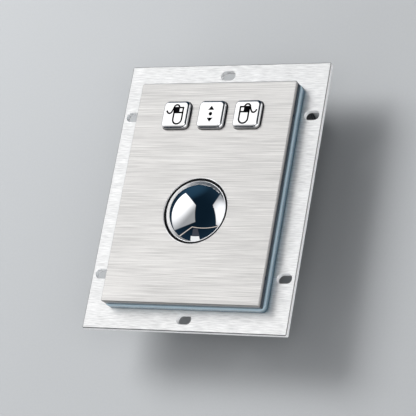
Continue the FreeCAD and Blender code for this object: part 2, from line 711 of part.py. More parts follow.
def controller_chip():
    """A square controller package with leads on four sides."""
    middle = -2.0
    z0 = MAIN_PCB_TOP
    body = slab((middle, middle), (8, 8), 0.3, (z0 + 0.1, z0 + 1.1))
    lead_reach = around(middle, 4.9)
    lead_z = (z0, z0 + 0.4)
    leads = []
    for i in range(8):
        across = around(middle + (i - 3.5) * 0.9, 0.18)
        leads.append(block(across, lead_reach, lead_z))
        leads.append(block(lead_reach, across, lead_z))
    return body.fuse(leads).removeSplitter()


def pcb_components():
    """The crystal, two capacitors and a row of small resistors on the main board."""
    z0 = MAIN_PCB_TOP
    crystal = slab((20, -4), (4.4, 10.5), 2.1, (z0, z0 + 3.5))
    capacitors = [post(x, y, 2.5, (z0, z0 + 5.2)) for x, y in ((-21, 5), (-22, -14))]
    resistors = [block(around(4 + 2 * i, 0.6), around(-14, 1.0), (z0, z0 + 0.5)) for i in range(4)]
    return [crystal] + capacitors + resistors


def main_connectors():
    """The sockets of the key harness and of the cable."""
    z_range = (MAIN_PCB_TOP, SOCKET_TOP)
    well_z = (MAIN_PCB_TOP + 2, SOCKET_TOP + 1)
    half = PLUG_HALF_WIDTH + 0.1
    key_body = block(around(0, SOCKET_HALF_WIDTH), HARNESS_SOCKET_Y, z_range)
    key_well = block(around(0, half), (HARNESS_SOCKET_Y[0] + 0.6, HARNESS_SOCKET_Y[1] - 0.6), well_z)
    cable_body = block(CABLE_SOCKET_X, around(CABLE_EXIT_Y, SOCKET_HALF_WIDTH), z_range)
    well_x = (CABLE_SOCKET_X[0] + 0.6, CABLE_SOCKET_X[1] - 0.6)
    cable_well = block(well_x, around(CABLE_EXIT_Y, half), well_z)
    return [key_body.cut(key_well), to_left(cable_body.cut(cable_well))]


def in_plane_wire(points):
    """A smooth wire through points that starts and ends along its first and last legs."""
    curve = Part.BSplineCurve()
    curve.interpolate(Points=points, InitialTangent=(points[1] - points[0]).normalize(),
                      FinalTangent=(points[-1] - points[-2]).normalize())
    return Part.Wire(curve.toShape())


def harness_wires():
    """Five wires from the key board through the housing wall and down to the main board."""
    y_down = sum(HARNESS_SOCKET_Y) / 2
    y_start = KEY_SOCKET_Y[0] - 1.1 - BALL_CENTRE.y
    z_high = HARNESS_Z - BALL_CENTRE.z
    z_low = SOCKET_TOP + 1.0
    bend_r = 3.0
    arc_middle = bend_r * (1 - math.sqrt(0.5))
    wires = []
    for i in range(5):
        x = (i - 2) * HARNESS_PITCH
        top = line(Vector(x, y_start, z_high), Vector(x, y_down + bend_r, z_high))
        middle = Vector(x, y_down + arc_middle, z_high - arc_middle)
        end = Vector(x, y_down, z_high - bend_r)
        bend = Part.Arc(Vector(x, y_down + bend_r, z_high), middle, end).toShape()
        drop = line(end, Vector(x, y_down, z_low))
        wires.append(sweep(Part.Wire([top, bend, drop]), 0.5))
    return wires


def harness_plugs():
    """The plugs at the two ends of the key harness."""
    y0 = KEY_SOCKET_Y[0] - BALL_CENTRE.y
    key_z = [z - BALL_CENTRE.z for z in KEY_PLUG_Z]
    key_plug = block(around(0, PLUG_HALF_WIDTH), (y0 - 1.1, y0 + 3.0), key_z)
    main_y = (HARNESS_SOCKET_Y[0] + 0.7, HARNESS_SOCKET_Y[1] - 0.7)
    main_plug = block(around(0, PLUG_HALF_WIDTH), main_y, (MAIN_PCB_TOP + 2.1, SOCKET_TOP + 1.0))
    return [key_plug, main_plug]


# ---------------------------------------------------------------- cable

JACKET_START_X = 26.6
BOOT_END_X = 38.0


def cable_wires():
    """Four inner wires from the cable's end to its plug on the main board, with the plug."""
    x_plug = sum(CABLE_SOCKET_X) / 2
    half_x = (CABLE_SOCKET_X[1] - CABLE_SOCKET_X[0]) / 2 - 0.7
    plug_z = (MAIN_PCB_TOP + 2.1, SOCKET_TOP + 0.8)
    plug = block(around(x_plug, half_x), around(CABLE_EXIT_Y, PLUG_HALF_WIDTH), plug_z)
    solids = [plug]
    for i in range(4):
        y = CABLE_EXIT_Y + (i - 1.5) * 0.95
        start = Vector(JACKET_START_X, y, CABLE_EXIT_Z)
        points = [start, start + Vector(-0.8, 0, 0), Vector(x_plug + 1.4, y, SOCKET_TOP + 2.0),
                  Vector(x_plug, y, SOCKET_TOP + 1.4), Vector(x_plug, y, SOCKET_TOP + 0.8)]
        solids.append(sweep(in_plane_wire(points), 0.42))
    return solids


def strain_relief():
    """The rubber boot that holds the cable in the housing's wall."""
    wall = (HOUSING_SIZE / 2 - HOUSING_WALL, HOUSING_SIZE / 2)
    origin = Vector(0, CABLE_EXIT_Y, CABLE_EXIT_Z)

    def disc(radius, x_range):
        return rod(origin + Vector(x_range[0], 0, 0), X_AXIS, radius, x_range[1] - x_range[0])

    rim_t = 1.2
    boot_x = wall[1] + rim_t
    boot = Part.makeCone(3.9, 3.0, BOOT_END_X - boot_x, origin + Vector(boot_x, 0, 0), X_AXIS)
    rims = [disc(4.4, (wall[0] - rim_t, wall[0])), disc(4.4, (wall[1], boot_x))]
    body = disc(3.35, wall).fuse(rims + [boot])
    return body.cut(disc(CABLE_R + 0.02, (20, 50)))


def line(start, end):
    """A straight path edge."""
    return Part.makeLine(start, end)


def level_arc(centre, radius, start_angle, end_angle):
    """A path edge along a horizontal arc, in degrees about its centre."""
    points = []
    for degrees in (start_angle, (start_angle + end_angle) / 2, end_angle):
        angle = math.radians(degrees)
        points.append(centre + Vector(radius * math.cos(angle), radius * math.sin(angle), 0))
    return Part.Arc(*points).toShape()


def lead_in():
    """The path from inside the housing, through the boot, to the coil's rightmost point."""
    y = BALL_CENTRE.y + CABLE_EXIT_Y
    z = BALL_CENTRE.z + CABLE_EXIT_Z
    x = COIL_CENTRE[0] + COIL_HALF_STRAIGHT + COIL_OUTER_R
    bend_r = x - BOOT_END_X
    climb_end_y = COIL_CENTRE[1] - COIL_OUTER_R - 4
    stops = [(y + bend_r, z), (0.0, z), (climb_end_y, COIL_TOP_Z), (COIL_CENTRE[1], COIL_TOP_Z)]
    points = [Vector(x, stop_y, stop_z) for stop_y, stop_z in stops]
    path = [line(Vector(JACKET_START_X, y, z), Vector(BOOT_END_X, y, z))]
    path.append(level_arc(Vector(BOOT_END_X, y + bend_r, z), bend_r, -90, 0))
    return path + [line(a, b) for a, b in zip(points, points[1:])]


def outer_layer():
    """Laps from the top down. Each drops to the next on the straight nearest the housing."""
    right = COIL_CENTRE[0] + COIL_HALF_STRAIGHT
    left = COIL_CENTRE[0] - COIL_HALF_STRAIGHT
    far_y = COIL_CENTRE[1] + COIL_OUTER_R
    near_y = COIL_CENTRE[1] - COIL_OUTER_R
    path = []
    for lap, z in enumerate(COIL_LEVELS):
        path.append(level_arc(Vector(right, COIL_CENTRE[1], z), COIL_OUTER_R, -90 if lap else 0, 90))
        path.append(line(Vector(right, far_y, z), Vector(left, far_y, z)))
        path.append(level_arc(Vector(left, COIL_CENTRE[1], z), COIL_OUTER_R, 90, 270))
        if lap + 1 < len(COIL_LEVELS):
            path.append(line(Vector(left, near_y, z), Vector(STEP_IN_X, near_y, z)))
            path.append(line(Vector(STEP_IN_X, near_y, z), Vector(right, near_y, COIL_LEVELS[lap + 1])))
    return path


def inner_layer():
    """Laps from the bottom up, each climbing on the straight at the key end."""
    right = COIL_CENTRE[0] + COIL_HALF_STRAIGHT
    left = COIL_CENTRE[0] - COIL_HALF_STRAIGHT
    radius = COIL_OUTER_R - COIL_PITCH
    far_y = COIL_CENTRE[1] + radius
    near_y = COIL_CENTRE[1] - radius
    levels = COIL_LEVELS[::-1]
    outer_end = Vector(left, COIL_CENTRE[1] - COIL_OUTER_R, levels[0])
    path = [line(outer_end, Vector(STEP_IN_X, near_y, levels[0]))]
    path.append(line(Vector(STEP_IN_X, near_y, levels[0]), Vector(right, near_y, levels[0])))
    for z, next_z in zip(levels, levels[1:]):
        path.append(level_arc(Vector(right, COIL_CENTRE[1], z), radius, -90, 90))
        path.append(line(Vector(right, far_y, z), Vector(left, far_y, next_z)))
        path.append(level_arc(Vector(left, COIL_CENTRE[1], next_z), radius, 90, 270))
        path.append(line(Vector(left, near_y, next_z), Vector(right, near_y, next_z)))
    return path


def tail():
    """The last half turn and the S-bend to the plug on the coil's middle line."""
    right = COIL_CENTRE[0] + COIL_HALF_STRAIGHT
    shift = COIL_OUTER_R - COIL_PITCH
    length = right - PLUG_END_X
    turn = 2 * math.atan(shift / length)
    bend_r = length / (2 * math.sin(turn))
    turn_degrees = math.degrees(turn)
    first_centre = Vector(right, COIL_CENTRE[1] + shift - bend_r, COIL_TOP_Z)
    last_centre = Vector(PLUG_END_X, COIL_CENTRE[1] + bend_r, COIL_TOP_Z)
    return [level_arc(Vector(right, COIL_CENTRE[1], COIL_TOP_Z), shift, -90, 90),
            level_arc(first_centre, bend_r, 90, 90 + turn_degrees),
            level_arc(last_centre, bend_r, turn_degrees - 90, -90)]


def cable():
    """The cable: out of the housing, round the coil's two layers and in to its plug."""
    return sweep(Part.Wire(lead_in() + outer_layer() + inner_layer() + tail()), CABLE_R)


def usb_plug_body():
    """The overmoulded grip of the USB plug."""
    length, width, height = GRIP_SIZE
    x_range = (PLUG_END_X - length, PLUG_END_X)
    body = slab((sum(x_range) / 2, COIL_CENTRE[1]), (length, width), 2.0, around(COIL_TOP_Z, height / 2))
    rims = level_edges(body, COIL_TOP_Z + height / 2) + level_edges(body, COIL_TOP_Z - height / 2)
    return body.makeFillet(1.2, rims).cut(usb_block((x_range[0] - 1, USB_SHELL_X), 0))


def usb_block(x_range, inset):
    """A block on the plug's middle line, smaller than the metal shell's outside by inset."""
    y_range = around(COIL_CENTRE[1], USB_SHELL_SIZE[1] / 2 - inset)
    return block(x_range, y_range, around(COIL_TOP_Z, USB_SHELL_SIZE[2] / 2 - inset))


def usb_plug_shell():
    """The plug's folded metal shell."""
    start_x = USB_SHELL_X - USB_SHELL_SIZE[0]
    outer = usb_block((start_x, USB_SHELL_X), 0)
    inner = usb_block((start_x - 1, USB_SHELL_X - 0.6), USB_SHELL_T)
    window_z = (COIL_TOP_Z + USB_SHELL_SIZE[2] / 2 - USB_SHELL_T, COIL_TOP_Z + USB_SHELL_SIZE[2])
    window_x = around(start_x + 7, 1.2)
    windows = [block(window_x, around(COIL_CENTRE[1] + side * 2.6, 1.1), window_z) for side in (-1, 1)]
    return outer.cut([inner] + windows)


def usb_plug_tongue():
    """The contact tongue inside the shell."""
    x_range = (USB_SHELL_X - USB_SHELL_SIZE[0] + 0.8, USB_SHELL_X - 0.6)
    return block(x_range, around(COIL_CENTRE[1], 5.6), (COIL_TOP_Z - 1.9, COIL_TOP_Z + 0.1))


def cable_ties():
    """Two ties that bind the coil's straight runs."""
    bottom = COIL_LEVELS[-1] - CABLE_R
    top = COIL_TOP_Z + CABLE_R
    z_inner = (bottom - 0.15, top + 0.15)
    z_outer = (bottom - 1.15, top + 1.15)
    width = COIL_PITCH + 2 * CABLE_R + 0.3
    ties = []
    for side in (-1, 1):
        y = COIL_CENTRE[1] + side * (COIL_OUTER_R - COIL_PITCH / 2)
        outer = block(around(TIE_X, 1.8), around(y, width / 2 + 1), z_outer)
        inner = block(around(TIE_X, 3), around(y, width / 2), z_inner)
        lengthwise = [e for e in outer.Edges if abs(e.tangentAt(e.FirstParameter).x) > 0.99]
        outer = outer.makeFillet(1.0, lengthwise)
        head_y = y + side * (width / 2 + 2.2)
        head = block(around(TIE_X, 2.6), around(head_y, 1.6), around(top - 6, 2.4))
        ties.append(outer.cut(inner).fuse(head))
    return ties


# ---------------------------------------------------------------- writing the nodes

def all_nodes():
    """Every node's shape by name, in the object's frame."""
    nodes = {
        "mounting_flange": mounting_flange(),
        "island_gasket": island_gasket(),
        "island_frame": island_frame(),
        "front_plate": front_plate(),
        "front_plate_studs": front_plate_studs(),
        "stud_washers": stud_washers(),
        "stud_nuts": stud_nuts(),
        "key_seals": key_seals(),
        "key_guide": key_guide(),
        "key_guide_screws": key_guide_screws(),
        "key_pcb": key_pcb(),
        "key_pcb_spacers": key_pcb_spacers(),
        "key_pcb_screws": key_pcb_screws(),
        "switch_bodies": switch_bodies(),
        "key_connector": key_connector(),
        "housing_screws": housing_screws(),
        "cable": to_left(cable()),
        "usb_plug_body": to_left(usb_plug_body()),
        "usb_plug_shell": to_left(usb_plug_shell()),
        "usb_plug_tongue": to_left(usb_plug_tongue()),
        "cable_ties": to_left(cable_ties()),
    }
    for name, centre in zip(KEY_NAMES, key_centres()):
        nodes["key_" + name] = key(centre)
        nodes["key_spring_" + name] = key_spring(centre)
        nodes["switch_plunger_" + name] = switch_plunger(centre)
    for name, shape in ball_frame_nodes().items():
        moved = [from_ball_frame(s) for s in shape] if isinstance(shape, list) else from_ball_frame(shape)
        nodes[name] = moved
    return nodes


def ball_frame_nodes():
    """The nodes drawn around the ball's centre."""
    shaft, wheel, bushes, sensor = roller_shaft(), code_wheel(), shaft_bushes(), optocoupler()
    return {
        "ball_shell": ball_shell(),
        "ball_core": ball_core(),
        "ball_wiper": ball_wiper(),
        "ball_housing": ball_housing(),
        "x_shaft": shaft,
        "x_code_wheel": wheel,
        "x_bearings": bushes,
        "x_optocoupler": sensor,
        "y_shaft": swap_xy(shaft),
        "y_code_wheel": swap_xy(wheel),
        "y_bearings": [swap_xy(bush) for bush in bushes],
        "y_optocoupler": swap_xy(sensor),
        "idler_bearing": in_idler_frame(idler_bearing()),
        "idler_pin": in_idler_frame(idler_pin()),
        "idler_carriage": in_idler_frame(idler_carriage()),
        "idler_spring": in_idler_frame(idler_spring()),
        "main_pcb": main_pcb(),
        "controller_chip": controller_chip(),
        "pcb_components": pcb_components(),
        "main_connectors": main_connectors(),
        "harness_wires": harness_wires(),
        "harness_plugs": harness_plugs(),
        "bottom_cover": bottom_cover(),
        "bottom_cover_screws": bottom_cover_screws(),
        "cable_wires": to_left(cable_wires()),
        "strain_relief": to_left(strain_relief()),
    }


def write_parts():
    """Writes one STEP file per node. A node of several pieces is a group of separate solids."""
    os.makedirs("parts", exist_ok=True)
    for name, shape in all_nodes().items():
        group = Part.makeCompound(shape) if isinstance(shape, list) else shape
        group.exportStep("parts/" + name + ".step")


write_parts()
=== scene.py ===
import json
import math

import bmesh
import bpy
from mathutils import Matrix, Vector


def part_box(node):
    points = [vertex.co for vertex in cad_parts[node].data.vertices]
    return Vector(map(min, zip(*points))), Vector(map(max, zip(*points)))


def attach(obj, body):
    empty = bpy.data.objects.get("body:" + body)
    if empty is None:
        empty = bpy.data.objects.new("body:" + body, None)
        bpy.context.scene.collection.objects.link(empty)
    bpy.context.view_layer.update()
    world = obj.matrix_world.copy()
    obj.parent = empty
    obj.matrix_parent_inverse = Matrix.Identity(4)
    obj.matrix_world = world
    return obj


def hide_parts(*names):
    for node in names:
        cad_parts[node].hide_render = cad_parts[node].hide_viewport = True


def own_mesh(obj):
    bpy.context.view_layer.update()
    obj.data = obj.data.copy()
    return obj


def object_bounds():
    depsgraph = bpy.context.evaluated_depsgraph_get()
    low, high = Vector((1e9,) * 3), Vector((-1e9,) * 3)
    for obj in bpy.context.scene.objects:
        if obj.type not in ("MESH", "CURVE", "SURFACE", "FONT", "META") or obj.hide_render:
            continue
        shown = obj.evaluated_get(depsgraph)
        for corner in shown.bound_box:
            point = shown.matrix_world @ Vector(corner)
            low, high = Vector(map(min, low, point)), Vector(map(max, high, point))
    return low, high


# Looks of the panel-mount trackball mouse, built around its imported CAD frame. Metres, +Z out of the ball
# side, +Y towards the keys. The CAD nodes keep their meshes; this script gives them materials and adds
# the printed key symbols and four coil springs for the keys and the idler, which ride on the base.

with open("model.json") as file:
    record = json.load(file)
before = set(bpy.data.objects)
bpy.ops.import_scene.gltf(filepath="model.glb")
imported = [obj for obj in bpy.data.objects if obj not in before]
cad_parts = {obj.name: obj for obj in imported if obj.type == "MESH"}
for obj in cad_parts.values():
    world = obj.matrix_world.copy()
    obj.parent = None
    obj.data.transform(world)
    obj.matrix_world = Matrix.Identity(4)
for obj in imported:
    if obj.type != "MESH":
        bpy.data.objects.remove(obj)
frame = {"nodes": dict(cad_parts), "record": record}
cad_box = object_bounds()

MM = 0.001
RECORD = frame["record"]
NODES = frame["nodes"]
KEYS = ("left", "scroll", "right")
BRUSHED_FACES = ("mounting_flange", "front_plate", "key_left", "key_scroll", "key_right")


# ---------------------------------------------------------------- shader helpers

class Shader:
    """A node tree with short calls for adding and joining nodes."""

    def __init__(self, tree):
        self.tree = tree
        tree.nodes.clear()

    def add(self, kind, inputs=None, **settings):
        """Adds a node. inputs maps an input's name or number to a value or to another node's output."""
        node = self.tree.nodes.new("ShaderNode" + kind)
        for key, value in settings.items():
            setattr(node, key, value)
        for key, value in (inputs or {}).items():
            self.feed(node.inputs[key], value)
        return node

    def feed(self, socket, value):
        """Joins an output to a socket, or sets the socket's value."""
        if isinstance(value, bpy.types.NodeSocket):
            self.tree.links.new(value, socket)
        else:
            socket.default_value = value

    def math(self, operation, a, b=0.0, clamp=False):
        """A scalar sum, product or other operation."""
        return self.add("Math", {0: a, 1: b}, operation=operation, use_clamp=clamp).outputs[0]

    def vector(self, operation, a, b=(0, 0, 0)):
        """A vector operation. DOT_PRODUCT gives a number."""
        node = self.add("VectorMath", {0: a, 1: b}, operation=operation)
        return node.outputs["Value" if operation in ("DOT_PRODUCT", "LENGTH") else "Vector"]

    def ramp(self, value, low, high, to_low=0.0, to_high=1.0, smooth=True):
        """Maps low..high to to_low..to_high, held at both ends."""
        kind = "SMOOTHSTEP" if smooth else "LINEAR"
        inputs = {0: value, 1: low, 2: high, 3: to_low, 4: to_high}
        return self.add("MapRange", inputs, interpolation_type=kind).outputs[0]

    def mix(self, factor, a, b):
        """A colour between a and b."""
        node = self.add("Mix", {0: factor, 6: a, 7: b}, data_type="RGBA")
        return node.outputs[2]

    def place(self, scale, offset=(0, 0, 0)):
        """Object coordinates in millimetres, scaled per axis."""
        coords = self.add("TexCoord").outputs["Object"]
        in_mm = tuple(s / MM for s in scale)
        return self.add("Mapping", {"Vector": coords, "Scale": in_mm, "Location": offset}).outputs[0]

    def noise(self, vector, scale=1.0, detail=3.0, roughness=0.55):
        """A noise value around 0.5."""
        inputs = {"Vector": vector, "Scale": scale, "Detail": detail, "Roughness": roughness}
        return self.add("TexNoise", inputs).outputs[0]

    def bump(self, height, depth_mm, strength=1.0, normal=None):
        """A normal from a height of 0 to 1 that stands for depth_mm."""
        inputs = {"Height": height, "Distance": depth_mm * MM, "Strength": strength}
        if normal is not None:
            inputs["Normal"] = normal
        return self.add("Bump", inputs).outputs[0]


def new_material(name):
    """A material with an empty node tree, and its wrapper."""
    material = bpy.data.materials.new(name)
    material.use_nodes = True
    return material, Shader(material.node_tree)


def surface(shader, inputs):
    """Ends a material with a principled surface."""
    body = shader.add("BsdfPrincipled", inputs)
    shader.add("OutputMaterial", {"Surface": body.outputs[0]})


def grey(value, warm=0.0):
    """A colour near grey, warmer or cooler by a small amount."""
    return (value * (1 + warm), value, value * (1 - warm), 1.0)


# ---------------------------------------------------------------- materials

# Millimetres: half the size of a rectangle just inside the plate's outline. It tells the plate's openings
# from its outer edges.
PLATE_CENTRE_Y = -1.0
PLATE_INSIDE = (41.0, 56.0, 0.0)

# How much of a face's normal points up or down, from a flat face to one cut straight through
FLAT = 0.98
BEVELLED = 0.86
LEANING = 0.5
CUT = 0.1


def outer_edge(s):
    """1 outside the plate's openings, 0 among them."""
    reach = s.vector("ABSOLUTE", s.place((1, 1, 0), (0, -PLATE_CENTRE_Y, 0)))
    beyond = s.add("SeparateXYZ", {0: s.vector("SUBTRACT", reach, PLATE_INSIDE)}).outputs
    return s.ramp(s.math("MAXIMUM", beyond["X"], beyond["Y"]), 0.0, 0.2)


def brush_lines(s, grain, waviness):
    """The streaks of brushing along X: the main ones, and their sum with finer and broader ones."""
    length, width = grain
    warp = s.math("SUBTRACT", s.noise(s.place((0.11, 0.35, 0.35)), detail=2.0), 0.5)
    offset = s.add("CombineXYZ", {"Y": s.math("MULTIPLY", warp, waviness / width)}).outputs[0]
    lined = s.vector("ADD", s.place((1 / length, 1 / width, 1 / width)), offset)
    streaks = s.noise(lined, detail=4.0, roughness=0.62)
    finer = s.vector("ADD", s.place((1.3 / length, 3.1 / width, 3.1 / width), (3, 7, 1)), offset)
    fine = s.noise(finer, detail=3.0)
    broad = s.noise(s.place((0.012, 0.09, 0.09), (5, 2, 0)), detail=2.0)
    tone = s.math("ADD", s.math("MULTIPLY", streaks, 0.62), s.math("MULTIPLY", fine, 0.26))
    return streaks, s.math("ADD", tone, s.math("MULTIPLY", broad, 0.12))


def brushed_metal(name, dark, light, grain, roughness, depth_mm, anisotropic, waviness, bevel_light_and_shade, wall_light_and_shade,
                  wall_metallic, wall_roughness):
    """Metal brushed along X. grain is the streak's (length, width) in mm.

    The bevel and wall colours, for broken and cut edges first inside the openings and then outside, are
    painted light
    and shade: painted highlights on the bevels of the openings, painted shade in their walls, and painted
    tones outside.
    """
    material, s = new_material(name)
    streaks, tone = brush_lines(s, grain, waviness)
    colour = s.mix(s.ramp(tone, 0.34, 0.64), dark, light)
    rough = s.ramp(streaks, 0.3, 0.7, roughness + 0.07, roughness - 0.05)
    normal = s.add("NewGeometry").outputs["True Normal"]
    upright = s.math("ABSOLUTE", s.vector("DOT_PRODUCT", normal, (0, 0, 1)))
    outer = outer_edge(s)
    tilted = s.ramp(upright, FLAT, BEVELLED)
    cut = s.ramp(upright, LEANING, CUT)
    dull = s.math("MAXIMUM", cut, s.math("MULTIPLY", tilted, s.math("SUBTRACT", 1.0, outer)))
    # Painted light and shade on the edges: the bevel and wall colours below are painted, one inside the
    # openings and one outside.
    painted_bevel_light = s.mix(outer, *bevel_light_and_shade)
    wall = s.mix(outer, *wall_light_and_shade)
    across_grain = s.add("CombineXYZ", {"Y": 1.0}).outputs[0]
    surface(s, {"Base Color": s.mix(cut, s.mix(tilted, colour, painted_bevel_light), wall),
                "Metallic": s.ramp(dull, 0.0, 1.0, 1.0, wall_metallic, False),
                "Roughness": s.math("ADD", s.math("MULTIPLY", rough, s.math("SUBTRACT", 1.0, cut)),
                                    s.math("MULTIPLY", cut, wall_roughness)),
                "Normal": s.bump(tone, depth_mm), "Anisotropic": anisotropic, "Tangent": across_grain})
    return material


def polished_metal(name, colour, roughness, haze=0.03):
    """Mirror metal with a faint haze of wiping marks."""
    material, s = new_material(name)
    marks = s.noise(s.place((0.35, 0.35, 0.35)), detail=5.0, roughness=0.7)
    rough = s.ramp(marks, 0.35, 0.75, roughness, roughness + haze)
    tint = s.mix(s.ramp(marks, 0.3, 0.8), colour, tuple(0.96 * c for c in colour[:3]) + (1.0,))
    surface(s, {"Base Color": tint, "Metallic": 1.0, "Roughness": rough})
    return material


def satin_metal(name, colour, roughness, speckle_mm=0.25, depth_mm=0.004):
    """Plated or ground metal with a fine speckle."""
    material, s = new_material(name)
    speckle = s.noise(s.place((1 / speckle_mm,) * 3), detail=3.0)
    cloud = s.noise(s.place((0.08,) * 3), detail=2.0)
    tint = s.mix(s.ramp(cloud, 0.3, 0.7), tuple(0.88 * c for c in colour[:3]) + (1.0,), colour)
    rough = s.ramp(speckle, 0.3, 0.7, roughness - 0.05, roughness + 0.08)
    surface(s, {"Base Color": tint, "Metallic": 1.0, "Roughness": rough, "Normal": s.bump(speckle, depth_mm)})
    return material


def moulded(name, colour, roughness=0.45, grain_mm=0.35, depth_mm=0.02, edge_highlight=0.25, coat=0.0):
    """Moulded plastic or rubber: a fine spark-eroded grain, and a painted highlight that lightens the edges
    as if they caught more light.
    """
    material, s = new_material(name)
    cells = s.add("TexVoronoi", {"Vector": s.place((1 / grain_mm,) * 3), "Scale": 1.0}).outputs["Distance"]
    fine = s.noise(s.place((2.2 / grain_mm,) * 3), detail=2.0)
    grain = s.math("ADD", s.math("MULTIPLY", cells, 0.6), s.math("MULTIPLY", fine, 0.4))
    cloud = s.noise(s.place((0.05,) * 3), detail=3.0)
    # Painted highlight: the colour is lightened near edges, as if they caught more light.
    edge_highlight_normal = s.add("Bevel", {"Radius": 0.35 * MM}, samples=4).outputs[0]
    facing = s.vector("DOT_PRODUCT", edge_highlight_normal, s.add("NewGeometry").outputs["Normal"])
    painted_edge_highlight = s.math("MULTIPLY", s.ramp(facing, 0.995, 0.86), edge_highlight)
    base = s.mix(s.ramp(cloud, 0.3, 0.7), tuple(0.82 * c for c in colour[:3]) + (1.0,), colour)
    tint = s.mix(painted_edge_highlight, base, tuple(min(1.0, 0.12 + 1.5 * c) for c in colour[:3]) + (1.0,))
    rough = s.ramp(fine, 0.3, 0.7, roughness - 0.06, roughness + 0.06)
    surface(s, {"Base Color": tint, "Roughness": rough, "Normal": s.bump(grain, depth_mm),
                "Coat Weight": coat, "Coat Roughness": 0.15})
    return material


def silicone(name, painted_shade_colour, painted_highlight_colour, height_mm):
    """Glossy elastomer with painted shade that deepens its colour near the metal it stands on, and a painted
    highlight that makes it paler at its upper edge.
    """
    material, s = new_material(name)
    level = s.add("SeparateXYZ", {0: s.place((1, 1, 1))}).outputs["Z"]
    cloud = s.noise(s.place((0.15,) * 3), detail=3.0)
    grain = s.noise(s.place((4.0,) * 3), detail=2.0)
    level = s.math("ADD", level, s.math("SUBTRACT", cloud, 0.5))
    # Painted light: the colour runs from painted shade low down to a painted highlight at the top edge.
    surface(s, {"Base Color": s.mix(s.ramp(level, 0.1, height_mm), painted_shade_colour, painted_highlight_colour),
                "Roughness": s.ramp(grain, 0.3, 0.7, 0.22, 0.32), "Normal": s.bump(grain, 0.003),
                "Coat Weight": 0.8, "Coat Roughness": 0.12})
    return material


def circuit_board(name):
    """Green solder mask over copper tracks, with the glass cloth just showing."""
    material, s = new_material(name)
    tracks = s.add("TexBrick", {"Vector": s.place((0.28, 0.28, 0.28)), "Scale": 1.0, "Mortar Size": 0.045,
                                "Mortar Smooth": 0.15, "Bias": 0.0, "Brick Width": 1.7, "Row Height": 0.42})
    weave_x = s.add("TexWave", {"Vector": s.place((1.6, 1.6, 1.6)), "Scale": 1.0, "Distortion": 0.4})
    copper = tracks.outputs["Fac"]
    mask = s.mix(s.ramp(weave_x.outputs["Fac"], 0.2, 0.8), (0.008, 0.075, 0.032, 1), (0.012, 0.10, 0.042, 1))
    colour = s.mix(copper, mask, (0.03, 0.20, 0.075, 1))
    surface(s, {"Base Color": colour, "Roughness": 0.32, "Normal": s.bump(copper, 0.03), "Coat Weight": 0.5,
                "Coat Roughness": 0.12})
    return material


def ink(name):
    """Black printed ink, slightly broken at its surface."""
    material, s = new_material(name)
    mottle = s.noise(s.place((6.0,) * 3), detail=4.0)
    colour = s.mix(s.ramp(mottle, 0.35, 0.75), (0.0008, 0.0008, 0.001, 1), (0.003, 0.003, 0.004, 1))
    surface(s, {"Base Color": colour, "Roughness": s.ramp(mottle, 0.3, 0.7, 0.5, 0.7),
                "Normal": s.bump(mottle, 0.004), "Specular IOR Level": 0.03})
    return material


def pale_floor(name):
    """A matt pale floor that fades out towards the backdrop far from the object."""
    material, s = new_material(name)
    coords = s.add("TexCoord").outputs["Object"]
    paper = s.noise(coords, scale=900.0, detail=3.0)
    colour = s.mix(paper, (0.37, 0.38, 0.39, 1), (0.40, 0.41, 0.42, 1))
    body = s.add("BsdfPrincipled", {"Base Color": colour, "Roughness": 0.9, "Normal": s.bump(paper, 0.02)})
    clear = s.add("BsdfTransparent").outputs[0]
    far = s.ramp(s.vector("LENGTH", coords), 1.2, 2.6)
    blend = s.add("MixShader", {0: far, 1: body.outputs[0], 2: clear})
    s.add("OutputMaterial", {"Surface": blend.outputs[0]})
    return material


